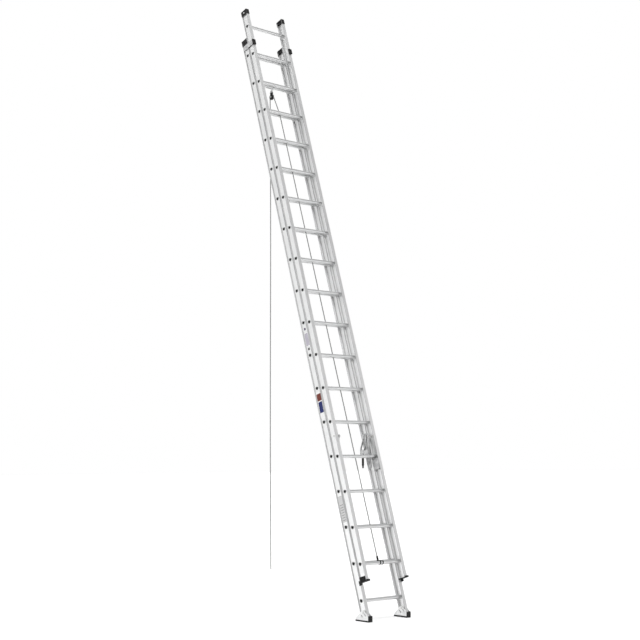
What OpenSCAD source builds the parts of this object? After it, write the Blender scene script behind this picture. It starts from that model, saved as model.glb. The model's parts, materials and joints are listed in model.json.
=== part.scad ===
// Two-section extension ladder, leaning against a wall and stored at its lowest reach.
// The ladder is drawn upright, X across, Y towards the wall and Z along the rails,
// with its origin in the middle of the lowest rung, and is then leaned over.

/* [Ladder] */
// Rungs in each section
rung_count = 18; // [14:2:18]
// Spacing of the rungs along the rails
rung_pitch = 304.8; // [300:0.2:305]
// Overall width over the rails
ladder_w = 466; // [430:2:500]
// Lean from upright, in degrees
lean = 17; // [14:0.5:19]
// Rail below the lowest rung
rail_below = 125; // [120:1:140]
// Rail above the highest rung
rail_above = 168; // [160:1:200]

/* [Rails] */
// Depth of a rail, front to back
rail_d = 74; // [72:1:75]
// Thickness of a rail's web
web_t = 2.4; // [2:0.1:3]
// Thickness of a rail's flanges
flange_t = 3; // [2.4:0.1:3.4]
// Flange lip outside the web
lip_w = 7; // [6.5:0.1:8]
// Flange inside the web
flange_in = 22; // [20:1:24]
// Distance between the two sections, middle to middle
section_gap = 76; // [76:0.2:77]
// How far the fly rungs sit below the base rungs
seat_drop = 22; // [21:0.5:23]

/* [Rungs] */
// Radius of the round underside of a rung
rung_r = 17; // [16:0.2:17]
// Height of the flat tread above the rung's middle
tread_h = 11; // [10:0.2:11.5]
// Wall of a rung
rung_wall = 1.9; // [1.6:0.1:2.4]
// Grip ribs on the tread
tread_ribs = 7; // [5:1:8]

/* [Rope] */
// Diameter of the rope
rope_d = 9.5; // [8:0.5:9.5]
// Sides of the rope's solid
rope_sides = 10; // [8:1:12]

/* [Colours] */
// Rails and rungs
metal = "silver"; // [silver, lightgray, gainsboro]
// Castings and brackets
casting = "darkgray"; // [darkgray, gray, silver]
// Caps, guides, pads and plugs
plastic = "black"; // [black, dimgray]
// Rope
rope_colour = "gray"; // [gray, lightgray, dimgray]

/* [Hidden] */
$fn = 48;
RUNG_PAIRS = floor(rung_count / 2);
PAIR_NODES = [for (s = ["base", "fly"]) for (i = [1:RUNG_PAIRS]) str(s, "_rungs_", 2*i - 1, "_", 2*i)];

fit = 0.05;                                   // radial clearance of pins, bolts and rung holes
slip = 0.5;                                   // clearance of sliding faces
flange_out = ladder_w / 2;                    // outermost face of a rail
web_out = flange_out - lip_w;                 // outer face of the web
web_in = web_out - web_t;                     // inner face of the web
flange_end = web_in - flange_in;              // inner edge of the flanges
half_d = rail_d / 2;
rail_top = (rung_count - 1)*rung_pitch + rail_above;
fly_z = rung_pitch - seat_drop;               // height of the lowest fly rung
fly_below = rail_below + 18;                  // fly rail below its lowest rung
fly_y = -section_gap;                         // the fly section lies in front
fly_front = section_gap + half_d;             // front face of the fly rails
fly_top = fly_z + rail_top;
bead_r = rung_r + 2.5;                        // swaged bead around a rung's end
bead_w = 2;
rivet_r = 2.5;

// Guide brackets on the base rails
bracket_x = flange_out + slip;
bracket_t = 3;
bracket_z = rail_top - 105;
bracket_h = 47;
bracket_front = fly_front + 4.5;

// Shoes
shoe_up = 95;                                 // shoe bolt below the lowest rung
shoe_h = 74;                                  // shoe bolt above the floor
shoe_bolt_r = 5;
shoe_plate_t = 3;
pad_h = 12;                                   // rubber under the sole
sole_t = 3;
sole_front = 62;
sole_back = 88;
toe_front = 70;
toe_h = 50;

// Rung locks: places are [forwards, up] from the middle of the base rung that a hook holds
lock_rung = 4;
lock_z = lock_rung*rung_pitch;
pivot = [84, 150];
pivot_r = 5;
hook_x = 182;                                 // outer face of a hook
hook_w = 14;
strut_w = 8;
bearing_r = norm(pivot) - 14.2;               // bearing arc, struck from the pivot
mouth_front = atan(pivot.x / pivot.y) - 6.9;
mouth_back = atan(pivot.x / pivot.y) + 11.6;
tongue_pin = [-47, 0];
tongue_pin_r = 3;
tongue_w = 7;
tongue_len = 84;

// Pulley and rope: places are [forwards, up] in the ladder's own upright plane
hanger_rung = rung_count - 2;
hanger_z = hanger_rung*rung_pitch;
sheave_at = [-36, hanger_z - 81.8];
hanger_pin = [-25, hanger_z - 34];
rope_r = rope_d / 2;
rope_orbit = 24.5;                            // radius of the rope's middle on the sheave
groove_r = 5;
sheave_w = 14;
sheave_r = 27;
cheek_t = 3;
cheek_x = sheave_w/2 + slip;
bight_from = 9;                               // angle where the lifting strand leaves the sheave
bight_to = 180 - lean;                        // angle where the hanging strand leaves it
clamp_top = 334;
tail_end_z = 309;                             // bare end of the rope above the floor
tail_bow = 4;                                 // slight set of the hanging rope

// Leans the upright ladder over, with its shoe bolts above the origin.
module lean_over() {
    translate([0, 0, shoe_h]) rotate([-lean, 0, 0]) translate([0, 0, shoe_up]) children();
}

// Extrudes an outline drawn as [forwards, up] across the ladder, from x - w to x.
module across(x, w) {
    translate([x, 0, 0]) rotate([90, 0, -90]) linear_extrude(w) children();
}

// The fly section's place on the base section.
module on_fly() {
    translate([0, fly_y, fly_z]) children();
}

// One copy on the right and its mirror image on the left.
module both() {
    children();
    mirror([1, 0, 0]) children();
}

// D-shaped outline with its flat level when the ladder leans.
module dee(r, h) {
    rotate(-lean) intersection() {
        circle(r);
        translate([-r, -r]) square([2*r, r + h]);
    }
}

// Rung outline with grip ribs on the tread.
module rung_outline() {
    rib = 1.2;
    span = 2*sqrt(rung_r*rung_r - tread_h*tread_h) - 3;
    difference() {
        dee(rung_r, tread_h);
        rotate(-lean) for (i = [0:tread_ribs - 2])
            translate([-span/2 + (i + 0.5)*span/(tread_ribs - 1) - rib/2, tread_h - 0.7]) square([rib, 2]);
        dee(rung_r - rung_wall, tread_h - rung_wall);
    }
}

// Rung with its swaged collars inside and outside both webs.
module rung() {
    reach = web_out + bead_w;
    across(reach, 2*reach) rung_outline();
    both() across(reach, bead_w - fit) bead();
    both() across(web_in - fit, bead_w) bead();
}

module bead() {
    difference() {
        dee(bead_r, tread_h + 2.5);
        dee(rung_r - 0.8, tread_h - 0.8);
    }
}

module rung_pair(i) {
    color(metal) for (k = [2*i - 2, 2*i - 1]) translate([0, 0, k*rung_pitch]) rung();
}

// Plastic plugs in the ends of a section's rungs.
module rung_plugs() {
    plug_w = 14;
    color(plastic) both() for (k = [0:rung_count - 1]) translate([0, 0, k*rung_pitch])
        across(web_out + bead_w + 0.4, plug_w) dee(rung_r - rung_wall - fit, tread_h - rung_wall - fit);
}

// Rail outline, seen along the rail: a web with a flange at each edge.
module rail_outline() {
    translate([web_in, -half_d]) square([web_t, rail_d]);
    for (y = [-half_d, half_d - flange_t])
        translate([flange_end, y]) square([flange_out - flange_end, flange_t]);
    for (y = [-1, 1]) {
        translate([flange_end + 2.5, y*(half_d - 2.6)]) circle(2.5);
        translate([web_in - 1.5, y*(half_d - flange_t - 1.5) - 1.5]) square([3, 3]);
    }
}

// Right rail with its rung holes and the given bolt holes, each [forwards, up, radius].
module rail(below, holes) {
    color(metal) difference() {
        translate([0, 0, -below]) linear_extrude(below + rail_top) rail_outline();
        for (k = [0:rung_count - 1]) translate([0, 0, k*rung_pitch])
            across(web_out + 1, web_t + 2) dee(rung_r + fit, tread_h + fit);
        for (h = holes) across(web_out + 1, web_t + 2) translate([h.x, h.y]) circle(h.z);
    }
}

RIVET_ZS = [12, 35];
RIVET_HOLES = [for (z = RIVET_ZS) [0, bracket_z + z, rivet_r + fit]];
BASE_HOLES = concat([[0, -shoe_up, shoe_bolt_r + fit]], RIVET_HOLES);
FLY_HOLES = [[pivot.x - section_gap, lock_z + pivot.y - fly_z, pivot_r + fit]];

module base_rail_right() { lean_over() rail(rail_below, BASE_HOLES); }
module base_rail_left() { lean_over() mirror([1, 0, 0]) rail(rail_below, BASE_HOLES); }
module fly_rail_right() { lean_over() on_fly() rail(fly_below, FLY_HOLES); }
module fly_rail_left() { lean_over() on_fly() mirror([1, 0, 0]) rail(fly_below, FLY_HOLES); }

// Cap on the top end of a rail: a lid, a wall behind, and blocks between the flanges.
module top_cap(block_h, lid_h, front_wall) {
    gap = 0.1;
    between = rail_d - 2*flange_t - 2*gap;
    front = half_d + (front_wall ? 3 : 0);
    difference() {
        union() {
            translate([flange_end - 2, -front, rail_top + gap])
                cube([flange_out - flange_end + 4, front + half_d + 3, lid_h]);
            translate([web_out + gap, -between/2, rail_top - block_h])
                cube([lip_w + 2 - gap, between, block_h + lid_h]);
            translate([flange_end + 6, -(between - 8)/2, rail_top - block_h/2])
                cube([flange_in - 6 - gap, between - 8, block_h/2 + lid_h]);
            translate([flange_end - 2, half_d + gap, rail_top - block_h])
                cube([flange_out - flange_end + 4, 3 - gap, block_h + lid_h]);
            if (front_wall) translate([flange_end - 2, -half_d - 3, rail_top - block_h])
                cube([flange_out - flange_end + 4, 3 - gap, block_h + lid_h]);
        }
        across(flange_out + 10, lip_w + 9) translate([0, rail_top - block_h/2]) circle(5);
    }
}

module base_top_caps() { color(plastic) lean_over() both() top_cap(56, 4, false); }
module fly_top_caps() { color(plastic) lean_over() on_fly() both() top_cap(46, 5, true); }

// Bracket on a base rail's top end that wraps the outside and the front of the fly rail.
module guide_bracket() {
    translate([bracket_x, -bracket_front - bracket_t, bracket_z])
        cube([bracket_t, bracket_front + bracket_t + 28, bracket_h]);
    translate([flange_out - 26, -bracket_front - bracket_t, bracket_z])
        cube([bracket_x - flange_out + 26 + fit, bracket_t, bracket_h]);
    translate([web_out + fit, -20, bracket_z + 6]) cube([lip_w + slip, 40, bracket_h - 12]);
}

module guide_brackets() {
    color(casting) lean_over() both() difference() {
        guide_bracket();
        for (z = RIVET_ZS) across(bracket_x + 10, 40) translate([0, bracket_z + z]) circle(rivet_r + fit);
    }
}

// Moulded pads on the front ends of the brackets, which the fly's front flanges run on.
module guide_pads() {
    color(plastic) lean_over() both() difference() {
        translate([flange_out - 30, -bracket_front - bracket_t - 4, bracket_z - 6])
            cube([37, bracket_front - fly_front - slip + bracket_t + 4, bracket_h + 6]);
        translate([flange_out - 26.1, -bracket_front - bracket_t - 0.1, bracket_z - 7])
            cube([26.2 + slip + bracket_t, bracket_t + 0.2, bracket_h + 8]);
        translate([bracket_x - 0.1, -bracket_front - bracket_t - 0.1, bracket_z - 7])
            cube([bracket_t + 0.2, 40, bracket_h + 8]);
    }
}

module guide_rivets() {
    color(metal) lean_over() both() for (z = RIVET_ZS) {
        across(bracket_x + bracket_t + 0.5, bracket_x + bracket_t + 0.5 - web_in + 1)
            translate([0, bracket_z + z]) circle(rivet_r);
        across(bracket_x + bracket_t + 2, 2 - fit) translate([0, bracket_z + z]) circle(2*rivet_r);
        across(web_in - fit, 2) translate([0, bracket_z + z]) circle(2*rivet_r);
    }
}

// Guide on the bottom end of a fly rail, which hooks behind the base rail's front lip.
module fly_foot_guides() {
    gap = 0.1;
    foot = -fly_below;
    between = rail_d - 2*flange_t - 2*gap;
    lip_face = -half_d + flange_t + section_gap;
    color(plastic) lean_over() on_fly() both() {
        translate([flange_end - 2, -half_d - 12, foot - 7])
            cube([flange_out - flange_end + 8, rail_d + 12, 7 - gap]);
        translate([web_out + gap, -between/2, foot - 7]) cube([lip_w + 3 - gap, between, 46]);
        for (y = [-24, -8, 8, 20]) translate([flange_out + 2, y, foot]) cube([3.5, 5, 36]);
        translate([flange_end - 2, -half_d - 12, foot - 7]) cube([flange_out - flange_end + 8, 4, 16]);
        translate([bracket_x, half_d - 20, foot - 26]) cube([4, 33, 38]);
        translate([web_out + 1.5, lip_face + slip, foot - 26]) cube([bracket_x - web_out + 1, 5, 38]);
    }
}

// Swivel shoes, drawn in the row's own frame, flat on the floor.
module shoe_outline() {
    difference() {
        union() {
            translate([0, shoe_h]) circle(17);
            polygon([[-sole_back, pad_h], [-sole_back, pad_h + 8], [-18, shoe_h + 11], [20, shoe_h + 11],
                     [sole_front, pad_h + 34], [sole_front, pad_h]]);
        }
        translate([0, shoe_h]) circle(shoe_bolt_r + fit);
        for (p = [[-14, 44], [24, 56]]) translate(p) rotate(45) {
            translate([-4, -11]) square([8, 22]);
            translate([0, -11]) circle(4);
            translate([0, 11]) circle(4);
        }
    }
}

module shoe() {
    color(metal) {
        across(flange_out + slip + shoe_plate_t, shoe_plate_t) shoe_outline();
        across(flange_end - slip, shoe_plate_t) shoe_outline();
        across(flange_out + slip + shoe_plate_t, flange_out - flange_end + 2*slip + 2*shoe_plate_t)
            translate([-sole_back, pad_h]) square([sole_back + sole_front, sole_t]);
    }
}

module shoe_pad() {
    side = flange_out + slip + shoe_plate_t + 2;
    width = side - flange_end + slip + shoe_plate_t + 2;
    grooves = [for (x = [-sole_back + 8:12:sole_front]) each [[x, 0], [x, 2.5], [x + 4, 2.5], [x + 4, 0]]];
    color(plastic) across(side, width) polygon(concat(
        [[-sole_back, pad_h - fit], [-sole_back, 0]], grooves,
        [[toe_front - 5, 0], [toe_front, 5], [toe_front, toe_h - 8], [toe_front - 4, toe_h],
         [sole_front + fit, toe_h], [sole_front + fit, pad_h - fit]]));
}

module shoe_right() { shoe(); }
module shoe_left() { mirror([1, 0, 0]) shoe(); }
module shoe_pad_right() { shoe_pad(); }
module shoe_pad_left() { mirror([1, 0, 0]) shoe_pad(); }

module shoe_bolts() {
    out = flange_out + slip + shoe_plate_t;
    in = flange_end - slip - shoe_plate_t;
    color(casting) both() {
        across(out + 4, out - in + 8) translate([0, shoe_h]) circle(shoe_bolt_r);
        across(out + 4.2, 4) translate([0, shoe_h]) circle(9);
        across(in - 0.2, 5) translate([0, shoe_h]) circle(9, $fn = 6);
    }
}

// A bar between two points with round ends.
module strut(a, b, w) {
    proud = 0.05;
    translate(a) circle(w/2 + proud);
    translate(b) circle(w/2 + proud);
    ribbon([a, b], w);
}

// Unit vector to the left of a run from a to b.
function left_of(a, b) = let (d = (b - a)/norm(b - a)) [-d.y, d.x];

// Offset from point i of a chain to its mitred left edge.
function mitre(p, i) = let (n = len(p) - 1, u = left_of(p[max(i - 1, 0)], p[max(i, 1)]),
    v = left_of(p[min(i, n - 1)], p[min(i + 1, n)]), m = (u + v)/norm(u + v)) m/(m*u);

// A bar of even width along a chain of points, with mitred corners and square ends.
module ribbon(points, w) {
    n = len(points) - 1;
    polygon(concat([for (i = [0:n]) points[i] + mitre(points, i)*w/2],
                   [for (i = [n:-1:0]) points[i] - mitre(points, i)*w/2]));
}

// A point at a distance and an angle behind straight down from the hook's pivot.
function from_pivot(r, a) = pivot + r*[-sin(a), -cos(a)];

// The mouth over the rung: open below, and roofed by the bearing arc.
module mouth() {
    reach = 300;
    difference() {
        polygon([pivot, from_pivot(reach, mouth_front), from_pivot(reach, mouth_back)]);
        translate(pivot) circle(bearing_r);
    }
}

// Ribs of the hook, from its boss over the top to the rear leg.
module hook_ribs() {
    ribbon([pivot, [60, 186], [34, 184], [4, 140], [-22, 108], [-46, 76], [-54, 40]], strut_w);
    ribbon([[56, 186], [40, 100], [30, 40]], strut_w - 1);
    ribbon([pivot, [62, 80], [35, 26]], strut_w + 1);
    ribbon([[4, 144], [42, 99]], strut_w - 2);
    ribbon([[-46, 76], [-22, 46]], strut_w - 2);
    ribbon([[-18, 48], [40, 98]], strut_w - 2);
}

// Crown over the rung, rear leg and front leg.
module hook_plate() {
    polygon([[42, 50], [-16, 50], [-40, 68], [-59, 44], [-60, 12], [-20, 6],
             [19, -2], [19, -112], [24, -118], [30, -114], [42, -52]]);
}

module hook_outline() {
    union() {
        hook_ribs();
        hook_plate();
        translate(pivot) circle(15);
    }
}

// Ear of the hook that carries the tongue's pin.
ear_w = hook_w - tongue_w - slip;

module hook_right_body() {
    color(casting) translate([0, 0, lock_z]) difference() {
        union() {
            across(hook_x, hook_w) hook_outline();
            across(hook_x - hook_w + ear_w, ear_w) strut([-54, 26], tongue_pin, 14);
        }
        across(hook_x + 1, hook_w + 2) mouth();
        across(hook_x + 1, hook_w + 2) polygon([[25, 0], [36, 0], [36, -48], [27, -94], [25, -94]]);
        across(hook_x + 1, hook_w + 2) translate(pivot) circle(pivot_r + fit);
        across(hook_x + 1, hook_w + 2) translate(tongue_pin) circle(tongue_pin_r + fit);
        across(hook_x + 1, tongue_w + slip + 1) translate(tongue_pin) circle(13.5);
    }
}

// Tongue that hangs from its own pin below the hook's rear leg.
module tongue_body() {
    tip = tongue_len*[-sin(lean), -cos(lean)];
    color(plastic) translate([0, 0, lock_z]) {
        across(hook_x, tongue_w) translate(tongue_pin) union() {
            circle(12);
            strut([0, 0], 0.75*tip, 22);
            strut(0.7*tip, tip, 14);
        }
        across(hook_x - 0.2, hook_w + 1) translate(tongue_pin) circle(tongue_pin_r);
    }
}

module hook_right() { lean_over() hook_right_body(); }
module hook_left() { lean_over() mirror([1, 0, 0]) hook_right_body(); }
module tongue_right() { lean_over() tongue_body(); }
module tongue_left() { lean_over() mirror([1, 0, 0]) tongue_body(); }

// Bolts that the hooks hang on, with a head outside the fly rail and a nut inside.
module lock_bolts() {
    inner = hook_x - hook_w - 0.3;
    color(casting) lean_over() both() translate([0, 0, lock_z]) {
        across(web_out + 0.2, web_out + 0.2 - inner + 6) translate(pivot) circle(pivot_r);
        across(web_out + 4.1, 4) translate(pivot) circle(8);
        across(inner, 5) translate(pivot) circle(8.5, $fn = 6);
    }
}

module lock_spacers() {
    color(metal) lean_over() both() translate([0, 0, lock_z])
        across(web_in - fit, web_in - hook_x - 0.3) translate(pivot) difference() {
            circle(9);
            circle(pivot_r + fit);
        }
}

// Torsion springs around the spacers, as plain sleeves.
module lock_springs() {
    color(casting) lean_over() both() translate([0, 0, lock_z])
        across(web_in - 4, 24) translate(pivot) difference() {
            circle(12.4);
            circle(9.2);
        }
}

// Guard plates on the inside of the fly rails below the locks.
module lock_guards() {
    color(casting) lean_over() both() translate([0, 0, lock_z]) difference() {
        across(flange_end - fit, 2.5)
            polygon([[44, -52], [108, -52], [108, -128], [96, -140], [56, -140], [44, -128]]);
        for (p = [[60, -66], [92, -66], [76, -124]]) across(flange_end + 1, 5) translate(p) circle(3);
    }
}

// Strap around a base rung that carries the pulley.
module pulley_hanger() {
    strap_x = 6;
    hole_r = rung_r + 0.2;
    at_rung = [0, hanger_z];
    towards = (hanger_pin - at_rung)/norm(hanger_pin - at_rung);
    color(casting) lean_over() difference() {
        union() {
            across(strap_x, 2*strap_x) translate(at_rung) circle(rung_r + 3.5);
            across(strap_x - 0.5, 2*strap_x - 1) ribbon([at_rung + 5*towards, hanger_pin + 3*towards], 15);
            across(strap_x, 2*strap_x) translate(hanger_pin) circle(8);
        }
        across(strap_x + 1, 2*strap_x + 2) translate(at_rung) circle(hole_r);
        across(strap_x + 1, 2*strap_x + 2) translate(hanger_pin) circle(4 + fit);
    }
}

module pulley_cheeks() {
    color(plastic) lean_over() for (x = [cheek_x + cheek_t, -cheek_x]) across(x, cheek_t) difference() {
        union() {
            translate(sheave_at) circle(17);
            strut(sheave_at, hanger_pin, 20);
        }
        translate(sheave_at) circle(4 + fit);
        translate(hanger_pin) circle(4 + fit);
    }
}

module pulley_pins() {
    reach = cheek_x + cheek_t + 2;
    color(metal) lean_over() for (p = [sheave_at, hanger_pin]) {
        across(reach, 2*reach) translate(p) circle(4);
        for (x = [reach + 0.2, -reach + 1.8]) across(x, 2) translate(p) circle(6.5);
    }
}

module sheave() {
    color(plastic) lean_over() translate([0, -sheave_at.x, sheave_at.y]) rotate([0, 90, 0]) rotate_extrude()
        difference() {
            translate([4 + fit, -sheave_w/2]) square([sheave_r - 4 - fit, sheave_w]);
            translate([rope_orbit, 0]) circle(groove_r);
            translate([rope_orbit, -groove_r]) square([10, 2*groove_r]);
        }
}

// Clamp with two bands on the lowest fly rung, and the sleeve that holds the rope's end.
module rope_clamp() {
    color(plastic) lean_over() {
        on_fly() {
            for (x = [-8, 21]) across(x, 9) difference() {
                dee(rung_r + 3, tread_h + 3);
                dee(rung_r + fit, tread_h + fit);
            }
            across(24, 44) translate([-22.5, -4]) square([4.6, 24]);
        }
        translate([0, -LIFT_ROUTE[3].x, 0]) difference() {
            translate([0, 0, clamp_top - 44]) cylinder(r = 8, h = 50);
            translate([0, 0, clamp_top]) cylinder(r = rope_r + 2*fit, h = 10);
        }
    }
}

// Rope routes in the ladder's plane, each place [forwards, up].
LIFT_ROUTE = [
    sheave_at + rope_orbit*[cos(bight_from), sin(bight_from)] + fit*[sin(bight_from), -cos(bight_from)],
    [23, hanger_z - rung_pitch],
    [38, 2400],
    [52, clamp_top]
];

// A tube of round sections along points, with its end faces square to the given directions.
module tube(points, r, start, end) {
    n = len(points);
    m = rope_sides;
    function dir(i) = let (d = i == 0 ? start : i == n - 1 ? end : points[i + 1] - points[i - 1]) d / norm(d);
    ring = [for (i = [0:n - 1]) for (j = [0:m - 1]) let (d = dir(i), a = 360*j/m)
        points[i] + r*(cos(a)*[1, 0, 0] + sin(a)*cross(d, [1, 0, 0]))];
    sides = [for (i = [0:n - 2]) for (j = [0:m - 1]) let (k = (j + 1) % m)
        [i*m + j, (i + 1)*m + j, (i + 1)*m + k, i*m + k]];
    ends = [[for (j = [0:m - 1]) j], [for (j = [m - 1:-1:0]) (n - 1)*m + j]];
    polyhedron(ring, concat(sides, ends), convexity = 4);
}

function in_plane(p) = [0, -p.x, p.y];

// Direction along the sheave's rim at an angle, from front to back.
function rim_dir(a) = in_plane([-sin(a), cos(a)]);

// Even points along a chain of straight runs.
function along(route, steps) = [for (i = [0:len(route) - 2]) for (j = [0:steps - 1])
    route[i] + (route[i + 1] - route[i])*j/steps];

module rope_lift() {
    route = concat(along(LIFT_ROUTE, 8), [LIFT_ROUTE[3]]);
    color(rope_colour) lean_over() tube([for (p = route) in_plane(p)], rope_r,
        -rim_dir(bight_from), in_plane([0, -1]));
}

module rope_bight() {
    steps = 16;
    angles = [for (i = [0:steps]) bight_from + (bight_to - bight_from)*i/steps];
    color(rope_colour) lean_over() tube([for (a = angles) in_plane(sheave_at + rope_orbit*[cos(a), sin(a)])],
        rope_r, rim_dir(bight_from), rim_dir(bight_to));
}

// Where the hanging strand leaves the sheave, in the row's own frame.
tail_top = [0, 0, shoe_h]
    + [0, (sheave_at.y + shoe_up)*sin(lean) - sheave_at.x*cos(lean) + rope_orbit,
       (sheave_at.y + shoe_up)*cos(lean) + sheave_at.x*sin(lean)];
TAIL_DROPS = [0, 60, 300, 600, 900, 1200, 1500, 1800, 2100, 2400, 2700, 3000, 3300, 3600, 3900, 4200];

module rope_tail() {
    full = tail_top.z - tail_end_z;
    drops = concat([for (d = TAIL_DROPS) if (d < full - 60) d], [full]);
    color(rope_colour) tube([for (d = drops) tail_top + [tail_bow*sin(360*d/full), 0, -d - fit]], rope_r,
        [0, 0, -1], [0, 0, -1]);
}

base_rail_left();
base_rail_right();
fly_rail_left();
fly_rail_right();
for (i = [1:RUNG_PAIRS]) {
    name = str("_rungs_", 2*i - 1, "_", 2*i);
    lean_over() rung_pair(i);
    lean_over() on_fly() rung_pair(i);
}
lean_over() rung_plugs();  // base_rung_plugs
lean_over() on_fly() rung_plugs();  // fly_rung_plugs
base_top_caps();
fly_top_caps();
guide_brackets();
guide_pads();
guide_rivets();
fly_foot_guides();
shoe_left();
shoe_right();
shoe_pad_left();
shoe_pad_right();
shoe_bolts();
hook_left();
hook_right();
tongue_left();
tongue_right();
lock_bolts();
lock_spacers();
lock_springs();
lock_guards();
pulley_hanger();
pulley_cheeks();
pulley_pins();
sheave();
rope_clamp();
rope_lift();
rope_bight();
rope_tail();
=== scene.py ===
"""Looks of a leaning two-section extension ladder, built around its packed design model."""

import json
import math

import bmesh
import bpy
from mathutils import Matrix, Vector


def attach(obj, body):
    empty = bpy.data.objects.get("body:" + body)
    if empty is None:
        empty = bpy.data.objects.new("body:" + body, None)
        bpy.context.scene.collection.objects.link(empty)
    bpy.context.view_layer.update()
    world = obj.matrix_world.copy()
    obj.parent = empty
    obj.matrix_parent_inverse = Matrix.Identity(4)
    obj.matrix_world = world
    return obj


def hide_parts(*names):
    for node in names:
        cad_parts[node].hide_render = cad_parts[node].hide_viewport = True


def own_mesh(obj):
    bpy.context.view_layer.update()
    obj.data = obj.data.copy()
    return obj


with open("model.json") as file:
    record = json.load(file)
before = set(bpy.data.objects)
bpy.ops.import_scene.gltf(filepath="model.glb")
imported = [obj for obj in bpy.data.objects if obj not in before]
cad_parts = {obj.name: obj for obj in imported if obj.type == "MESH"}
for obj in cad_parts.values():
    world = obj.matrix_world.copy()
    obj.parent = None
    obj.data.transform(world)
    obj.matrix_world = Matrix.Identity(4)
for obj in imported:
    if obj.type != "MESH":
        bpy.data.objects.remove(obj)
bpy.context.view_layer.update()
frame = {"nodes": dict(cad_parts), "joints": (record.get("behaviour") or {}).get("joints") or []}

# ---------------------------------------------------------------- places and sizes
TAU = 2 * math.pi
SIDES = (-1, 1)
JOINTS = {joint["name"]: joint for joint in frame["joints"]}
SLIDE_UP = Vector(JOINTS["fly_slide"]["axis"])
LEAN = math.asin(SLIDE_UP.y)

# Metres. UP is a height along the rails, T a thickness, D a depth or a diameter and R a radius.
SHOE_UP = 0.095
SHOE_H = JOINTS["shoe_left_swivel"]["pos_m"][2]
RUNGS = 18
PITCH = 0.3048
WEB_OUT = 0.226
WEB_T = 0.0024
WEB_IN = WEB_OUT - WEB_T
FLANGE_OUT = 0.233
FLANGE_END = WEB_IN - 0.022
RAIL_D = 0.074
FLANGE_T = 0.003
RAIL_BELOW = {"base": 0.125, "fly": 0.143}
RAIL_TOP = (RUNGS - 1) * PITCH + 0.168
SECTION_GAP = 0.076
SLIP = 0.0005
BRACKET_T = 0.003
FLY_UP = PITCH - 0.022
RUNG_R = 0.017
TREAD_H = 0.011
RUNG_WALL = 0.0019
ROPE_D = 0.0095
ROPE_ORBIT = 0.0245
HANGER_UP = (RUNGS - 2) * PITCH
SHEAVE_AT = (-0.036, HANGER_UP - 0.0818)
LOCK_UP = 4 * PITCH
PIVOT = (0.084, LOCK_UP + 0.150)
HOOK_X = 0.182
CLAMP_UP = 0.334
BRACKET_UP = RAIL_TOP - 0.105

# The ladder is laid out upright: X across, Y to the wall, Z along the rails, from the lowest rung's middle.
# LEANING carries that to the leaning ladder, which stands on its shoes.
LEANING = (
    Matrix.Translation((0, 0, SHOE_H))
    @ Matrix.Rotation(-LEAN, 4, "X")
    @ Matrix.Translation((0, 0, SHOE_UP))
)
ON_FLY = Matrix.Translation((0, -SECTION_GAP, FLY_UP))
FORWARDS = (LEANING.to_3x3() @ Vector((0, -1, 0))).normalized()
# How far forwards the base lies, in spacings of the two sections.
BASE_SHIFT = FORWARDS.dot(LEANING @ Vector((0, 0, 0))) / SECTION_GAP


def place(x, forwards, up):
    """A point of the leaning ladder from its place on the upright one."""
    return LEANING @ Vector((x, -forwards, up))


# ---------------------------------------------------------------- camera
def make_camera():
    turn, tilt, roll = math.radians(-40.862), math.radians(6.518), math.radians(-0.355)
    data = bpy.data.cameras.new("camera")
    data.lens = 68.555
    data.sensor_width = 36
    data.clip_end = 200
    camera = bpy.data.objects.new("camera", data)
    camera.matrix_world = (
        Matrix.Translation((-7.0598, -7.3805, 1.3058))
        @ Matrix.Rotation(turn, 4, "Z")
        @ Matrix.Rotation(math.pi / 2 + tilt, 4, "X")
        @ Matrix.Rotation(roll, 4, "Z")
    )
    bpy.context.scene.collection.objects.link(camera)
    bpy.context.scene.camera = camera


make_camera()


# ---------------------------------------------------------------- nodes from Python
class Value:
    """A node socket whose Python operators add Math nodes."""

    def __init__(self, tree, socket):
        self.tree, self.socket = tree, socket

    def math(self, operation, *others):
        node = self.tree.nodes.new("ShaderNodeMath")
        node.operation = operation
        for socket, item in zip(node.inputs, (self, *others)):
            if isinstance(item, Value):
                self.tree.links.new(item.socket, socket)
            else:
                socket.default_value = item
        return Value(self.tree, node.outputs[0])

    def __add__(self, other):
        return self.math("ADD", other)

    __radd__ = __add__

    def __mul__(self, other):
        return self.math("MULTIPLY", other)

    __rmul__ = __mul__

    def __sub__(self, other):
        return self.math("SUBTRACT", other)

    def __rsub__(self, other):
        return (self * -1) + other

    def __truediv__(self, other):
        return self.math("DIVIDE", other)

    def clamp(self):
        result = self.math("ADD", 0.0)
        result.socket.node.use_clamp = True
        return result

    def step(self, low, high):
        """0 below low, 1 above high and smooth between them."""
        t = ((self - low) / (high - low)).clamp()
        return t * t * (3 - 2 * t)


class Builder:
    """Adds nodes to a shader or geometry tree."""

    def __init__(self, tree):
        self.tree = tree

    def node(self, kind, settings=None, out=0, **sockets):
        """Any node: its settings first, then its sockets' values or links, by name or as i and a number."""
        node = self.tree.nodes.new(kind)
        for key, value in (settings or {}).items():
            setattr(node, key, value)
        for key, value in sockets.items():
            name = int(key[1:]) if key[1:].isdigit() else key.replace("_", " ")
            for item in value if isinstance(value, list) else [value]:
                if isinstance(item, Value):
                    self.tree.links.new(item.socket, node.inputs[name])
                else:
                    node.inputs[name].default_value = item
        return Value(self.tree, node.outputs[out])

    def vector(self, operation, first, second=None, scale=None, out=0):
        sockets = {"i0": first}
        if second is not None:
            sockets["i1"] = second
        if scale is not None:
            sockets["Scale"] = scale
        return self.node("ShaderNodeVectorMath", {"operation": operation}, out=out, **sockets)

    def parts(self, vector):
        """The X, Y and Z of a vector."""
        node = self.node("ShaderNodeSeparateXYZ", Vector=vector).socket.node
        return [Value(self.tree, socket) for socket in node.outputs]


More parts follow.
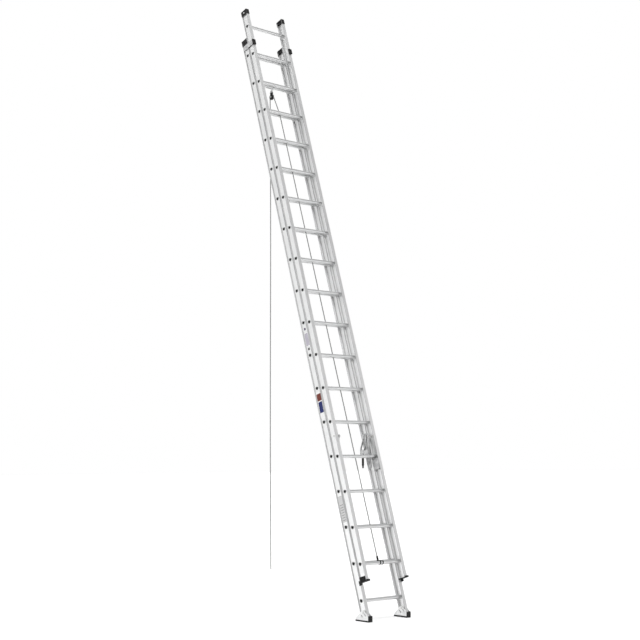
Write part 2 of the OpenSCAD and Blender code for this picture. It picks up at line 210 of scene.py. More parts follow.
class Finish(Builder):
    """A node material. fixed holds the shader's constant sockets."""

    def __init__(self, name, slot=None, **fixed):
        self.material = bpy.data.materials.new(name)
        self.material.use_nodes = True
        self.tree = self.material.node_tree
        self.shader = self.tree.nodes["Principled BSDF"]
        self.slot = slot
        for socket, value in fixed.items():
            self.shader.inputs[socket.replace("_", " ")].default_value = value

    def position(self):
        return self.node("ShaderNodeTexCoord", out=3)

    def along(self, direction):
        """How far a point lies along a direction."""
        return self.vector("DOT_PRODUCT", self.position(), tuple(direction), out=1)

    def ladder_place(self, across=1.0, forwards=1.0, up=1.0):
        """The point in the leaning ladder's own directions, each scaled."""
        return self.node("ShaderNodeCombineXYZ", X=self.along((across, 0, 0)),
                         Y=self.along(FORWARDS * forwards), Z=self.along(SLIDE_UP * up))

    def noise(self, vector, scale, detail=3.0, roughness=0.5):
        return self.node("ShaderNodeTexNoise", Vector=vector, Scale=scale, Detail=detail, Roughness=roughness)

    def mix(self, factor, first, second):
        """A colour between two colours."""
        return self.node("ShaderNodeMix", {"data_type": "RGBA"}, i0=factor, i6=first, i7=second, out=2)

    def bump(self, height, strength, distance=0.0004):
        return self.node("ShaderNodeBump", Height=height, Strength=strength, Distance=distance)

    def set(self, **links):
        for key, value in links.items():
            self.tree.links.new(value.socket, self.shader.inputs[key.replace("_", " ")])
        return self


SOCKETS = {int: "NodeSocketInt", float: "NodeSocketFloat", tuple: "NodeSocketVector",
           bpy.types.Material: "NodeSocketMaterial"}


class Pattern(Builder):
    """A Geometry Nodes tree with named inputs, which becomes a plain mesh."""

    def __init__(self, name, finish, **sizes):
        self.name = name
        self.sizes = {**sizes, "Finish": finish.material}
        self.tree = bpy.data.node_groups.new(name, "GeometryNodeTree")
        self.tree.interface.new_socket("Path", in_out="INPUT", socket_type="NodeSocketGeometry")
        self.tree.interface.new_socket("Mesh", in_out="OUTPUT", socket_type="NodeSocketGeometry")
        for key, value in self.sizes.items():
            self.tree.interface.new_socket(key, in_out="INPUT", socket_type=SOCKETS[type(value)])
        self.given = self.tree.nodes.new("NodeGroupInput")

    def __getitem__(self, key):
        return Value(self.tree, self.given.outputs[key])

    def join(self, *parts):
        return self.node("GeometryNodeJoinGeometry", Geometry=list(reversed(parts)))

    def moved(self, geometry, offset=(0, 0, 0), turn=(0, 0, 0)):
        return self.node("GeometryNodeTransform", Geometry=geometry, Translation=offset, Rotation=turn)

    def point(self, x=0.0, y=0.0, z=0.0):
        return self.node("ShaderNodeCombineXYZ", X=x, Y=y, Z=z)

    def circle(self, points, radius):
        return self.node("GeometryNodeCurvePrimitiveCircle", Resolution=points, Radius=radius)

    def sweep(self, curve, profile):
        return self.node("GeometryNodeCurveToMesh", Curve=curve, Profile_Curve=profile, Fill_Caps=True)

    def prism(self, outline, depth):
        """A closed solid from a flat outline, standing depth up along Z."""
        face = self.node("GeometryNodeFillCurve", {"mode": "NGONS"}, Curve=outline)
        risen = self.node("GeometryNodeExtrudeMesh", Mesh=face, Offset=self.point(z=1.0),
                          Offset_Scale=depth, Individual=False)
        under = self.node("GeometryNodeFlipFaces", Mesh=face)
        return self.node("GeometryNodeMergeByDistance", Geometry=self.join(risen, under), Distance=1e-6)

    def rounded(self, count):
        """The given points as an outline whose corners are arcs of count points."""
        outline = self.node("GeometryNodeMeshToCurve", Mesh=self["Path"])
        return self.node("GeometryNodeFilletCurve", {"mode": "POLY"}, Curve=outline, Count=count,
                         Radius=self["Corner"], Limit_Radius=True)

    def row(self, part, count, start, step):
        """Copies of a part, a step apart."""
        line = self.node("GeometryNodeMeshLine", Count=count, Start_Location=start, Offset=step)
        return self.node("GeometryNodeInstanceOnPoints", Points=line, Instance=part)

    def made(self, geometry, path=(), closed=False, facing=()):
        """The finished object as a plain mesh. path holds its given points, and facing a side for each."""
        real = self.node("GeometryNodeRealizeInstances", Geometry=geometry)
        done = self.node("GeometryNodeSetMaterial", Geometry=real, Material=self["Finish"])
        end = self.tree.nodes.new("NodeGroupOutput")
        self.tree.links.new(done.socket, end.inputs[0])
        mesh = bpy.data.meshes.new(self.name)
        edges = [(i, i + 1) for i in range(len(path) - 1)] + ([(len(path) - 1, 0)] if closed else [])
        mesh.from_pydata([tuple(p) for p in path], edges, [])
        if facing:
            mesh.attributes.new("facing", "FLOAT", "POINT").data.foreach_set("value", facing)
        piece = bpy.data.objects.new(self.name, mesh)
        bpy.context.scene.collection.objects.link(piece)
        modifier = piece.modifiers.new("pattern", "NODES")
        modifier.node_group = self.tree
        for item in self.tree.interface.items_tree:
            if item.in_out == "INPUT" and item.name in self.sizes:
                modifier[item.identifier] = self.sizes[item.name]
        made = piece.evaluated_get(bpy.context.evaluated_depsgraph_get())
        piece.data = bpy.data.meshes.new_from_object(made)
        piece.modifiers.clear()
        return piece


def kept(piece, body, finish, *nodes):
    """Puts a finished piece on its body in place of design nodes."""
    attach(piece, body)
    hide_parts(*nodes)
    return piece


# ---------------------------------------------------------------- rope
def rope_finish():
    finish = Finish("rope fibre", "rope", Roughness=0.85, Sheen_Weight=0.25)
    yarn = finish.node("ShaderNodeAttribute", {"attribute_name": "yarn"}, out=1)
    run = finish.node("ShaderNodeAttribute", {"attribute_name": "run"}, out=2)
    side, face, _ = finish.parts(yarn)
    turn = face.math("ARCTAN2", side)
    # The yarns winding around each strand: their relief goes to the bump, and their grooves are also painted
    # darker as painted shade.
    yarn_relief_and_shade = (turn * 5 + run * (TAU / 0.012)).math("SINE") * 0.5 + 0.5
    thin = finish.node("ShaderNodeCombineXYZ", X=side * 0.004, Y=face * 0.004, Z=run)
    hair = finish.noise(thin, 900.0, 2.0)
    short = finish.node("ShaderNodeCombineXYZ", X=side, Y=face, Z=run * 90)
    fleck = finish.noise(short, 1.3, 2.0).step(0.5, 0.62)
    # Painted shade darkens the colour between the yarns; hair and the flecks below vary the tone at random.
    shade = finish.mix(yarn_relief_and_shade * 0.6 + hair * 0.3, (0.13, 0.13, 0.135, 1), (0.40, 0.40, 0.39, 1))
    shade = finish.mix(fleck * 0.55, shade, (0.07, 0.07, 0.075, 1))
    return finish.set(Base_Color=shade, Normal=finish.bump(yarn_relief_and_shade * 0.7 + hair * 0.4, 0.6))


ROPE = rope_finish()
# The length of rope in which a strand goes once around.
LAY = 0.034
STRANDS = 3
# Where the rope meets and leaves the sheave, as angles around it.
BIGHT_FROM, BIGHT_TO = math.radians(9), math.pi - LEAN
# The hanging rope: how far it bows sideways, how high it ends, and how far down its points lie.
TAIL_BOW = 0.004
TAIL_END = 0.309
TAIL_DROPS = (0, 0.06, 0.3, 0.6, 0.9, 1.2, 1.5, 1.8, 2.1, 2.4, 2.7, 3.0, 3.3, 3.6, 3.9, 4.2)


def on_sheave(angle):
    """A point of the rope's middle around the sheave, from straight forwards over the top."""
    return place(0, SHEAVE_AT[0] + ROPE_ORBIT * math.cos(angle), SHEAVE_AT[1] + ROPE_ORBIT * math.sin(angle))


def laid_rope(name, points, before):
    """Three strands twisted around a path; before is the length of rope that comes first."""
    p = Pattern(name, ROPE, Strands=STRANDS, Lay=LAY, Step=LAY / 10, Middle=ROPE_D * 0.245,
                Strand=ROPE_D * 0.255, Before=float(before), Sides=8)
    path = p.node("GeometryNodeMeshToCurve", Mesh=p["Path"])
    path = p.node("GeometryNodeResampleCurve", {"mode": "LENGTH"}, Curve=path, Length=p["Step"])
    run = p.node("GeometryNodeSplineParameter", out=1) + p["Before"]
    path = p.node("GeometryNodeStoreNamedAttribute", {"data_type": "FLOAT", "domain": "POINT"},
                  Geometry=path, Name="run", Value=run)
    copies = p.node("GeometryNodeDuplicateElements", {"domain": "SPLINE"}, Geometry=path, Amount=p["Strands"])
    which = Value(p.tree, copies.socket.node.outputs["Duplicate Index"])
    angle = run * TAU / p["Lay"] + which * TAU / p["Strands"]
    side = p.node("GeometryNodeInputNormal")
    front = p.vector("CROSS_PRODUCT", p.node("GeometryNodeInputTangent"), side)
    offset = p.vector("ADD", p.vector("SCALE", side, scale=angle.math("COSINE") * p["Middle"]),
                      p.vector("SCALE", front, scale=angle.math("SINE") * p["Middle"]))
    strands = p.node("GeometryNodeSetPosition", Geometry=copies, Offset=offset)
    round_ = p.circle(p["Sides"], p["Strand"])
    unit = p.vector("NORMALIZE", p.node("GeometryNodeInputPosition"))
    round_ = p.node("GeometryNodeStoreNamedAttribute", {"data_type": "FLOAT_VECTOR", "domain": "POINT"},
                    Geometry=round_, Name="yarn", Value=unit)
    tube = p.node("GeometryNodeSetShadeSmooth", Geometry=p.sweep(strands, round_))
    return p.made(tube, points)


def length_of(points):
    return sum((b - a).length for a, b in zip(points, points[1:]))


def make_ropes():
    lift = [place(0, 0.052, CLAMP_UP), place(0, 0.038, 2.4), place(0, 0.023, HANGER_UP - PITCH),
            on_sheave(BIGHT_FROM)]
    steps = 16
    bight = [on_sheave(BIGHT_FROM + (BIGHT_TO - BIGHT_FROM) * i / steps) for i in range(steps + 1)]
    top = bight[-1]
    full = top.z - TAIL_END
    tail = [top + Vector((TAIL_BOW * math.sin(TAU * drop / full), 0, -drop)) for drop in (*TAIL_DROPS, full)]
    taut = kept(laid_rope("lifting_rope", lift, 0), "fly", ROPE, "rope_lift")
    reach = length_of(lift)
    slide = JOINTS["fly_slide"]["range_m"][1]
    1 - slide / (lift[-1] - lift[0]).dot(SLIDE_UP)
    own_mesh(taut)
    kept(laid_rope("rope_over_sheave", bight, reach), "base", ROPE, "rope_bight")
    hanging = kept(laid_rope("hanging_rope", tail, reach + length_of(bight)), "base", ROPE, "rope_tail")
    round(length_of(tail), 3)


make_ropes()


# ---------------------------------------------------------------- metal finishes
def grey(level, tint=(1, 1, 1)):
    return (level * tint[0], level * tint[1], level * tint[2], 1)


def drawn_metal(name, slot, tone, lines=1.0, wear=1.0, roughness=0.36, corners=0.0):
    """Extruded aluminium: die lines, handling marks, scuffs, and painted shade on the sideways faces next to
    the flanges, as strong as corners asks.
    """
    finish = Finish(name, slot, Metallic=1.0)
    fine = finish.noise(finish.ladder_place(1, 1, 0.006), 1500.0, 2.0)
    broad = finish.noise(finish.ladder_place(1, 1, 0.02), 160.0, 3.0)
    cloud = finish.noise(finish.position(), 5.0, 4.0, 0.6)
    scuff = finish.noise(finish.ladder_place(1, 1, 0.35), 75.0, 5.0, 0.7).step(0.60, 0.72) * wear
    dull, bright = grey(tone * 0.86, (0.985, 0.995, 1.0)), grey(tone, (1.0, 1.0, 0.995))
    tint = finish.mix(cloud * 0.7 + broad * 0.3, dull, bright)
    tint = finish.mix(scuff * 0.5, tint, grey(tone * 0.70))
    if corners:
        # Painted shade: sideways faces are painted darker towards the flanges, as if the lips shaded the web
        # beside them.
        beside = (finish.along(FORWARDS / SECTION_GAP) + 0.5 - BASE_SHIFT).math("FRACT") - 0.5
        normal = finish.parts(finish.node("ShaderNodeNewGeometry", out=1))
        sideways = normal[0].math("ABSOLUTE").step(0.5, 0.9)
        dark = beside.math("ABSOLUTE").step(0.26, 0.46) * sideways * corners
        tint = finish.mix(dark, tint, grey(tone * 0.35))
    rough = fine * 0.10 * lines + broad * 0.08 + cloud * 0.12 + scuff * 0.18 + (roughness - 0.13)
    ridges = fine * 0.5 * lines + broad * 0.5
    return finish.set(Base_Color=tint, Roughness=rough, Normal=finish.bump(ridges, 0.12))


def cast_metal():
    """Die-cast aluminium: pebbled skin, darker in patches, rubbed bright in places."""
    finish = Finish("cast aluminium", "cast_aluminium", Metallic=1.0)
    pebble = finish.noise(finish.position(), 900.0, 3.0)
    patch = finish.noise(finish.position(), 30.0, 4.0, 0.6)
    tint = finish.mix(patch.step(0.35, 0.7), grey(0.50, (0.98, 0.99, 1.0)), grey(0.68))
    rough = pebble * 0.15 + patch * 0.2 + 0.32
    skin = finish.bump(pebble * 0.6 + patch * 0.4, 0.25, 0.0005)
    return finish.set(Base_Color=tint, Roughness=rough, Normal=skin)


def plated_steel():
    """Zinc-plated steel with a faint warm bloom."""
    finish = Finish("zinc plating", "zinc_steel", Metallic=1.0)
    bloom = finish.noise(finish.position(), 60.0, 3.0)
    tint = finish.mix(bloom.step(0.4, 0.65), grey(0.62, (1.0, 0.985, 0.95)), grey(0.74, (0.97, 0.99, 1.0)))
    return finish.set(Base_Color=tint, Roughness=bloom * 0.2 + 0.2)


def moulded(name, slot, tone, grain=1.0, dust=0.3):
    """Moulded black plastic or rubber with a fine grain and a little dust."""
    finish = Finish(name, slot, Specular_IOR_Level=0.22)
    fine = finish.noise(finish.position(), 1400.0, 2.0)
    cloud = finish.noise(finish.position(), 22.0, 4.0, 0.65)
    dusty = cloud.step(0.48, 0.75) * dust
    tint = finish.mix(dusty, grey(tone, (1, 1, 1.04)), grey(0.06, (1.0, 0.98, 0.95)))
    rough = cloud * 0.2 + fine * 0.1 + 0.36
    return finish.set(Base_Color=tint, Roughness=rough, Normal=finish.bump(fine, 0.15 * grain))


# The rails get painted shade on their sideways faces next to the flanges.
RAIL_METAL = drawn_metal("rail aluminium", "rail_aluminium", 0.92, corners=0.85)
SHOE_METAL = drawn_metal("stamped aluminium", "shoe_aluminium", 0.84, lines=0.3, wear=1.6, roughness=0.42)
RIVET_METAL = drawn_metal("rivet aluminium", "rivet_aluminium", 0.80, lines=0.0, roughness=0.30)
CAST_METAL = cast_metal()
ZINC = plated_steel()
BLACK = moulded("black plastic", "black_plastic", 0.008)
RUBBER = moulded("black rubber", "rubber", 0.011, grain=2.0, dust=0.45)


def rung_metal():
    """Extruded aluminium with lines along the rung and a tread rubbed dull between its ribs."""
    finish = Finish("rung aluminium", "rung_aluminium", Metallic=1.0)
    x, y, z = finish.parts(finish.position())
    stretched = finish.node("ShaderNodeCombineXYZ", X=x * 0.01, Y=y, Z=z)
    fine = finish.noise(stretched, 1600.0, 2.0)
    cloud = finish.noise(finish.position(), 12.0, 4.0, 0.6)
    normal = finish.parts(finish.node("ShaderNodeNewGeometry", out=1))
    on_top = normal[2].step(0.75, 0.98)
    worn = on_top * finish.noise(finish.position(), 60.0, 4.0, 0.7).step(0.42, 0.66)
    tint = finish.mix(cloud, grey(0.58, (0.985, 0.995, 1)), grey(0.70))
    tint = finish.mix(worn * 0.45, tint, grey(0.44))
    rough = fine * 0.10 + cloud * 0.10 + worn * 0.18 + 0.27
    return finish.set(Base_Color=tint, Roughness=rough, Normal=finish.bump(fine, 0.12))


RUNG_METAL = rung_metal()


# ---------------------------------------------------------------- rails and rungs
UP = tuple(SLIDE_UP * PITCH)
FIRST_RUNG = {"base": place(0, 0, 0), "fly": place(0, SECTION_GAP, FLY_UP)}
PAIRS = [f"rungs_{i}_{i + 1}" for i in range(1, RUNGS, 2)]
ALONG_X = (math.pi / 2, 0.0, math.pi / 2)


def dee(p, radius, flat, points, ribs=None):
    """A D outline with its flat side up, with grip ribs where they are asked for."""
    x, y, _ = p.parts(p.node("GeometryNodeInputPosition"))
    width, height = x * radius, y * radius
    if ribs:
        on_flat = height.math("GREATER_THAN", flat)
        half = (radius * radius - flat * flat).math("SQRT") - 0.002
        groove = (width / half * ribs * math.pi).math("COSINE").math("LESS_THAN", 0.1)
        inside = width.math("ABSOLUTE").math("LESS_THAN", half)
        height = height.math("MINIMUM", flat) - on_flat * groove * inside * 0.0008
    else:
        height = height.math("MINIMUM", flat)
    return p.node("GeometryNodeSetPosition", Geometry=p.circle(points, 1.0), Position=p.point(width, height))


def rung_row(section):
    """A section's rungs: ribbed tubes with a swaged collar on both sides of each web."""
    p = Pattern(f"{section}_rungs", RUNG_METAL, Count=RUNGS, Start=tuple(FIRST_RUNG[section]), Step=UP,
                Reach=WEB_OUT + 0.0019, Radius=RUNG_R, Tread=TREAD_H, Ribs=3.0, Collar=0.0012,
                Collar_out=WEB_OUT + 0.0009, Collar_in=WEB_IN - 0.0011)
    outline = dee(p, p["Radius"], p["Tread"], 168, p["Ribs"])
    tube = p.moved(p.prism(outline, p["Reach"] * 2), offset=p.point(z=p["Reach"] * -1))
    ring = dee(p, p["Radius"] + p["Collar"] * 0.9, p["Tread"] + p["Collar"] * 0.9, 56)
    collar = p.node("GeometryNodeSetShadeSmooth", Geometry=p.sweep(ring, p.circle(7, p["Collar"])))
    collars = [p.moved(collar, offset=p.point(z=at * side)) for side in SIDES
               for at in (p["Collar_out"], p["Collar_in"])]
    rung = p.moved(p.join(tube, *collars), turn=ALONG_X)
    return kept(p.made(p.row(rung, p["Count"], p["Start"], p["Step"])), section, RUNG_METAL,
                *[f"{section}_{pair}" for pair in PAIRS])


def plug_row(section):
    """Black plugs in the rung ends, each with a raised rim, a shallow dish and a dimple."""
    p = Pattern(f"{section}_end_plugs", BLACK, Count=RUNGS, Start=tuple(FIRST_RUNG[section]), Step=UP,
                Reach=WEB_OUT + 0.0022, Radius=RUNG_R - RUNG_WALL, Tread=TREAD_H - RUNG_WALL, Rim=0.0016)
    disc = p.prism(dee(p, p["Radius"], p["Tread"], 72), 0.012)
    rim = p.sweep(dee(p, p["Radius"] - p["Rim"], p["Tread"] - p["Rim"], 48), p.circle(8, p["Rim"] * 0.6))
    dimple = p.node("GeometryNodeMeshUVSphere", Segments=16, Rings=8, Radius=0.0035)
    dimple = p.node("GeometryNodeTransform", Geometry=dimple, Scale=(1, 1, 0.2))
    back = p.moved(disc, offset=p.point(z=p["Reach"] - 0.0122))
    face = p.moved(p.join(rim, dimple), offset=p.point(z=p["Reach"] - 0.0004))
    face = p.node("GeometryNodeSetShadeSmooth", Geometry=face)
    end = p.moved(p.join(back, face), turn=ALONG_X)
    far = p.node("GeometryNodeTransform", Geometry=end, Scale=(-1, 1, 1))
    far = p.node("GeometryNodeFlipFaces", Mesh=far)
    return kept(p.made(p.row(p.join(end, far), p["Count"], p["Start"], p["Step"])), section, BLACK,
                f"{section}_rung_plugs")


RAIL_PLACE = {"base": LEANING, "fly": LEANING @ ON_FLY}


def rail_outline():
    """The rail's section: a web, and flanges each with a bulb inside and a lip outside."""
    half = RAIL_D / 2
    inner = half - FLANGE_T
    bulb = half - 0.0051
    front = [(WEB_OUT, -inner), (FLANGE_OUT - 0.002, -inner), (FLANGE_OUT - 0.0016, -inner + 0.0006),
             (FLANGE_OUT, -inner + 0.0006), (FLANGE_OUT, -half), (FLANGE_END, -half), (FLANGE_END, -bulb),
             (FLANGE_END + 0.0046, -bulb), (FLANGE_END + 0.0052, -inner), (WEB_IN, -inner)]
    return [(x, y, 0) for x, y in front] + [(x, -y, 0) for x, y in reversed(front)]


def rail(section, side):
    """An extruded rail with rounded lips, standing along Z on the upright ladder."""
    name = {-1: "left", 1: "right"}[side]
    below = RAIL_BELOW[section]
    p = Pattern(f"{section}_{name}_rail", RAIL_METAL, Below=below, Length=below + RAIL_TOP,
                Corner=0.0009, Side=float(side))
    bar = p.moved(p.prism(p.rounded(3), p["Length"]), offset=p.point(z=p["Below"] * -1))
    bar = p.node("GeometryNodeTransform", Geometry=bar, Scale=p.point(p["Side"], 1.0, 1.0))
    if side < 0:
        bar = p.node("GeometryNodeFlipFaces", Mesh=bar)
    piece = p.made(bar, rail_outline(), closed=True)
    piece.data.transform(RAIL_PLACE[section])
    return kept(piece, section, RAIL_METAL, f"{section}_rail_{name}")


for section in ("base", "fly"):
    rung_row(section)
    plug_row(section)
    for side in SIDES:
        rail(section, side)


# ---------------------------------------------------------------- rivets and springs
def rivets(name, body, finish, spots, radius, *nodes):
    """Domed rivet heads. A spot is (x, forwards, up, the side it faces)."""
    p = Pattern(name, finish, Radius=radius, Rise=0.5)
    head = p.node("GeometryNodeMeshUVSphere", Segments=18, Rings=10, Radius=1.0)
    head = p.node("GeometryNodeTransform", Geometry=head,
                  Scale=p.point(p["Radius"] * p["Rise"], p["Radius"], p["Radius"]))
    head = p.node("GeometryNodeSetShadeSmooth", Geometry=head)
    shank = p.node("GeometryNodeMeshCylinder", Vertices=18, Radius=p["Radius"] * 0.35,
                   Depth=p["Radius"] * 0.3)
    shank = p.moved(shank, offset=p.point(x=p["Radius"] * 0.52), turn=(0.0, math.pi / 2, 0.0))
    points = p.node("GeometryNodeMeshToPoints", Mesh=p["Path"])
    facing = p.node("GeometryNodeInputNamedAttribute", {"data_type": "FLOAT"}, Name="facing")
    turn = p.point(z=(1 - facing) * (math.pi / 2))
    heads = p.node("GeometryNodeInstanceOnPoints", Points=points, Instance=p.join(head, shank), Rotation=turn)
    piece = p.made(heads, [(x, -forwards, up) for x, forwards, up, _ in spots],
                   facing=[float(spot[3]) for spot in spots])
    piece.data.transform(LEANING)
    return kept(piece, body, finish, *nodes)


def both_sides(*spots):
    """The same spots on both sides of the ladder; x and facing are given for the right one."""
    return [(x * side, forwards, up, facing * side) for x, forwards, up, facing in spots for side in SIDES]


BRACKET_FACE = FLANGE_OUT + SLIP + BRACKET_T
RIVET_UPS = (BRACKET_UP + 0.012, BRACKET_UP + 0.035)
BIG_RIVET = 0.0048
SMALL_RIVET = 0.0032
rivets("bracket_rivets", "base", RIVET_METAL,
       both_sides(*[(BRACKET_FACE, 0, up, 1) for up in RIVET_UPS],
                  *[(WEB_IN, 0, up, -1) for up in RIVET_UPS]), BIG_RIVET, "guide_rivets")
FOOT_SPOTS = [(forwards, up) for forwards in (-0.02, 0.02) for up in (-0.045, -0.028)]
rivets("base_rail_rivets", "base", RIVET_METAL,
       both_sides(*[(WEB_IN, forwards, up, -1) for forwards, up in FOOT_SPOTS],
                  *[(WEB_OUT, forwards, up, 1) for forwards, up in FOOT_SPOTS],
                  (WEB_IN, 0, RAIL_TOP - 0.028, -1)), SMALL_RIVET)
FLY_SPOTS = [(SECTION_GAP + 0.016, FLY_UP - 0.085), (SECTION_GAP - 0.016, FLY_UP - 0.085),
             (SECTION_GAP, FLY_UP + RAIL_TOP - 0.023)]
rivets("fly_rail_rivets", "fly", RIVET_METAL,
       both_sides(*[(WEB_IN, *spot, -1) for spot in FLY_SPOTS]), SMALL_RIVET)
rivets("fly_rail_bolts", "fly", CAST_METAL,
       [(WEB_IN, SECTION_GAP + 0.012, BRACKET_UP - 0.100 - 0.045 * i, -1) for i in range(2)], 0.0055)
rivets("fly_cap_rivets", "fly", RIVET_METAL,
       both_sides((FLANGE_OUT + 0.0021, SECTION_GAP, FLY_UP + RAIL_TOP - 0.020, 1)), 0.0075)
rivets("guard_rivets", "fly", RIVET_METAL,
       both_sides(*[(FLANGE_END - 0.0026, 0.060 + 0.016 * i, LOCK_UP - 0.090, -1) for i in range(3)]), 0.0022)


def lock_springs():
    """The torsion springs around the lock spacers, wound from round wire with a leg at each end."""
    width, from_hook = 0.0208, 0.0175
    p = Pattern("lock_spring_coils", ZINC, Turns=7.5, Radius=0.0108, Wire=0.0015, Width=width, Leg=0.024)
    coil = p.node("GeometryNodeCurveSpiral", Resolution=24, Rotations=p["Turns"], Start_Radius=p["Radius"],
                  End_Radius=p["Radius"], Height=p["Width"])
    wire = p.sweep(coil, p.circle(7, p["Wire"]))
    legs = [p.sweep(p.node("GeometryNodeCurvePrimitiveLine", Start=p.point(p["Radius"] * way, 0.0, at),
                           End=p.point(p["Radius"] * way, p["Leg"] * -way, at)), p.circle(7, p["Wire"]))
            for way, at in ((1, 0.0), (-1, p["Width"]))]
    spring = p.node("GeometryNodeSetShadeSmooth", Geometry=p.join(wire, *legs))
    spring = p.moved(spring, turn=(0.0, math.pi / 2, 0.0))
    starts = (HOOK_X + from_hook, -HOOK_X - from_hook - width)
    pair = [p.moved(spring, offset=(x, -PIVOT[0], PIVOT[1])) for x in starts]
    piece = p.made(p.join(*pair))
    piece.data.transform(LEANING)
    return kept(piece, "fly", ZINC, "lock_springs")


lock_springs()


# ---------------------------------------------------------------- stickers on the left base rail
# Turns a flat outline to the web: X to the wall, Y up and its thickness into the web.
ON_WEB = Matrix(((0, 0, 1, 0), (1, 0, 0, 0), (0, 1, 0, 0), (0, 0, 0, 1)))


def sticker(name, colour, second, low, high, half, lift):
    """A plain sticker with round corners in the rail's channel, between two heights."""
    finish = Finish(name, Roughness=0.55, Specular_IOR_Level=0.3)
    worn = finish.noise(finish.position(), 90.0, 4.0, 0.7).step(0.58, 0.66)
    cloud = finish.noise(finish.position(), 14.0, 3.0)
    finish.set(Base_Color=finish.mix(worn * 0.35 + cloud * 0.3, colour, second))
    p = Pattern(name, finish, Corner=0.004, Thick=0.0003)
    corners = [(-half, low, 0), (half, low, 0), (half, high, 0), (-half, high, 0)]
    piece = p.made(p.prism(p.rounded(5), p["Thick"]), corners, closed=True)
    piece.data.transform(LEANING @ Matrix.Translation((-WEB_OUT - lift, 0, 0)) @ ON_WEB)
    return kept(piece, "base", finish)


# Name, colour, worn colour, lower and upper end in rung spacings, half width and how far it stands out.
STICKERS = (
    ("white_sticker", grey(0.80), grey(0.66), 5.14, 5.90, 0.029, 0.0002),
    ("red_sticker", (0.13, 0.024, 0.014, 1), (0.24, 0.08, 0.06, 1), 5.62, 5.83, 0.027, 0.0004),
    ("blue_sticker", (0.006, 0.014, 0.10, 1), (0.025, 0.04, 0.17, 1), 5.27, 5.59, 0.024, 0.0004),
    ("upper_sticker", (0.40, 0.38, 0.44, 1), (0.50, 0.49, 0.52, 1), 7.29, 7.66, 0.021, 0.0002),
    ("upper_mark", (0.05, 0.04, 0.09, 1), (0.12, 0.11, 0.16, 1), 7.76, 7.83, 0.010, 0.0002),
    ("lower_mark", (0.03, 0.03, 0.03, 1), (0.10, 0.10, 0.10, 1), 7.15, 7.22, 0.011, 0.0002),
    ("lower_sticker", grey(0.56), grey(0.46), 2.13, 2.86, 0.026, 0.0002),
)
for name, colour, second, low, high, half, lift in STICKERS:
    sticker(name, colour, second, low * PITCH, high * PITCH, half, lift)
RULED_LINES = 7
LINE_H = 0.0045
for i in range(RULED_LINES):
    up = (2.18 + 0.07 * i) * PITCH
    sticker(f"ruled_line_{i + 1}", grey(0.16), grey(0.26), up, up + LINE_H, 0.020, 0.0004)


# ---------------------------------------------------------------- castings, mouldings and pressings
def softened(name, body, finish, *nodes, width=0.0008, pocket=None):
    """A copy of design nodes with rounded edges. pocket is (rim, depth) for side faces sunk inside a rim."""
    shape = bmesh.new()
    for node in nodes:
        shape.from_mesh(frame["nodes"][node].data)
    bmesh.ops.remove_doubles(shape, verts=shape.verts, dist=0.00001)
    bmesh.ops.dissolve_limit(shape, angle_limit=math.radians(1), verts=shape.verts, edges=shape.edges)
    if pocket:
        rim, depth = pocket
        flat = [face for face in shape.faces if abs(face.normal.x) > 0.99]
        bmesh.ops.inset_region(shape, faces=flat, thickness=rim, depth=-depth, use_even_offset=True)
    mesh = bpy.data.meshes.new(name)
    shape.to_mesh(mesh)
    shape.free()
    mesh.materials.append(finish.material)
    mesh.shade_smooth()
    mesh.set_sharp_from_angle(angle=math.radians(30))
    piece = bpy.data.objects.new(name, mesh)
    bpy.context.scene.collection.objects.link(piece)
    edge = piece.modifiers.new("rounded edges", "BEVEL")
    edge.width, edge.segments = width, 2
    edge.limit_method, edge.angle_limit = "ANGLE", math.radians(38)
    edge.use_clamp_overlap = True
    edge.harden_normals = True
    return kept(piece, body, finish, *nodes)


softened("base_end_caps", "base", BLACK, "base_top_caps", width=0.0016)
softened("fly_end_caps", "fly", BLACK, "fly_top_caps", width=0.0016)
softened("bracket_straps", "base", CAST_METAL, "guide_brackets", width=0.0008)
softened("bracket_pads", "base", BLACK, "guide_pads", width=0.0014)
softened("foot_guides", "fly", BLACK, "fly_foot_guides", width=0.0012)
softened("guard_plates", "fly", CAST_METAL, "lock_guards", width=0.0006)
softened("lock_pivots", "fly", ZINC, "lock_bolts", width=0.0007)
softened("spacer_tubes", "fly", RIVET_METAL, "lock_spacers", width=0.0003)
softened("rope_grip", "fly", BLACK, "rope_clamp", width=0.0007)
softened("rung_strap", "base", CAST_METAL, "pulley_hanger", width=0.0008)
softened("pulley_sides", "base", BLACK, "pulley_cheeks", width=0.0006)
softened("pulley_axles", "base", RIVET_METAL, "pulley_pins", width=0.0006)
softened("swivel_bolts", "base", ZINC, "shoe_bolts", width=0.0008)
HOOK_POCKET = (0.0017, 0.0022)
TONGUE_POCKET = (0.0020, 0.0012)
for side in ("left", "right"):
    shoe, hook, tongue = f"shoe_{side}", f"hook_{side}", f"tongue_{side}"
    softened(f"{side}_shoe", shoe, SHOE_METAL, shoe, width=0.0005)
    softened(f"{side}_sole", shoe, RUBBER, f"shoe_pad_{side}", width=0.0009)
    softened(f"{side}_hook", hook, CAST_METAL, hook, width=0.0005, pocket=HOOK_POCKET)
    softened(f"{side}_tongue", tongue, BLACK, tongue, width=0.0005, pocket=TONGUE_POCKET)
softened("rope_wheel", "sheave", BLACK, "sheave", width=0.0006)


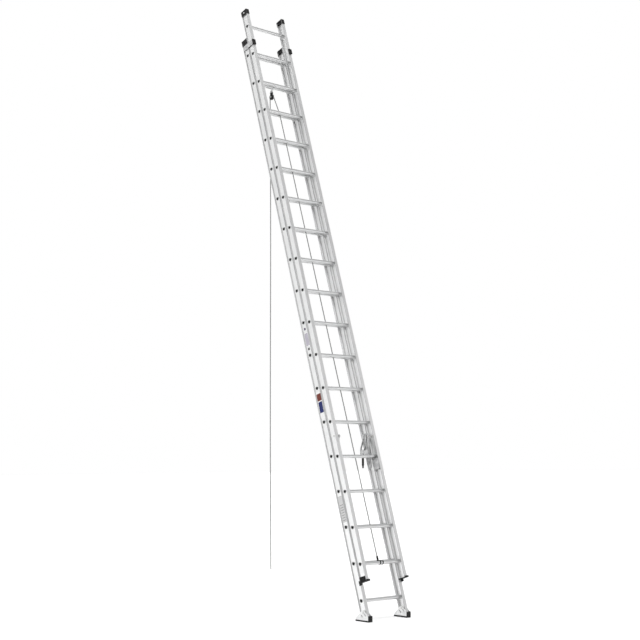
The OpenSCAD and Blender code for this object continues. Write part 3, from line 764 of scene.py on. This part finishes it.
# ---------------------------------------------------------------- floor and light
def lit_floor():
    finish = Finish("floor", Roughness=0.9)
    soft = finish.noise(finish.position(), 0.6, 2.0)
    finish.set(Base_Color=finish.mix(soft, grey(0.93), grey(0.95)))
    mesh = bpy.data.meshes.new("floor")
    reach = 90
    corners = [(-reach, -reach, 0), (reach, -reach, 0), (reach, reach, 0), (-reach, reach, 0)]
    mesh.from_pydata(corners, [], [(0, 1, 2, 3)])
    mesh.materials.append(finish.material)
    floor = bpy.data.objects.new("floor", mesh)
    bpy.context.scene.collection.objects.link(floor)


def soft_light(name, at, aim, width, height, power):
    data = bpy.data.lights.new(name, "AREA")
    data.shape, data.size, data.size_y, data.energy = "RECTANGLE", width, height, power
    light = bpy.data.objects.new(name, data)
    turn = (Vector(at) - Vector(aim)).to_track_quat("Z", "Y")
    light.matrix_world = Matrix.Translation(at) @ turn.to_matrix().to_4x4()
    bpy.context.scene.collection.objects.link(light)


# The room's brightness: its dark side, how much more its bright side gives, and how much more its ceiling.
DARK_SIDE, BRIGHT_SIDE, CEILING = 0.50, 0.40, 2.2
TO_BRIGHT_SIDE = (-0.755, 0.655)


def room_light():
    """White behind the ladder, and for its light a room with a bright ceiling and one bright side."""
    world = bpy.data.worlds.new("room")
    bpy.context.scene.world = world
    world.use_nodes = True
    build = Builder(world.node_tree)
    x, y, up = build.parts(build.node("ShaderNodeTexCoord"))
    across = x * TO_BRIGHT_SIDE[0] + y * TO_BRIGHT_SIDE[1]
    room = DARK_SIDE + across.step(-0.7, 0.8) * BRIGHT_SIDE + up.step(0.72, 0.95) * CEILING
    seen = build.node("ShaderNodeLightPath")
    strength = room * (1 - seen) + seen
    background = world.node_tree.nodes["Background"]
    background.inputs["Color"].default_value = (1, 1, 1, 1)
    world.node_tree.links.new(strength.socket, background.inputs["Strength"])
    middle = (0, 0.8, 2.8)
    soft_light("key", (-5.5, -4.5, 6.5), middle, width=3.0, height=4.0, power=60)
    soft_light("fill", (5.5, -3.5, 4.0), middle, width=3.0, height=4.0, power=12)
    bpy.context.scene.view_settings.view_transform = "Standard"


lit_floor()
room_light()
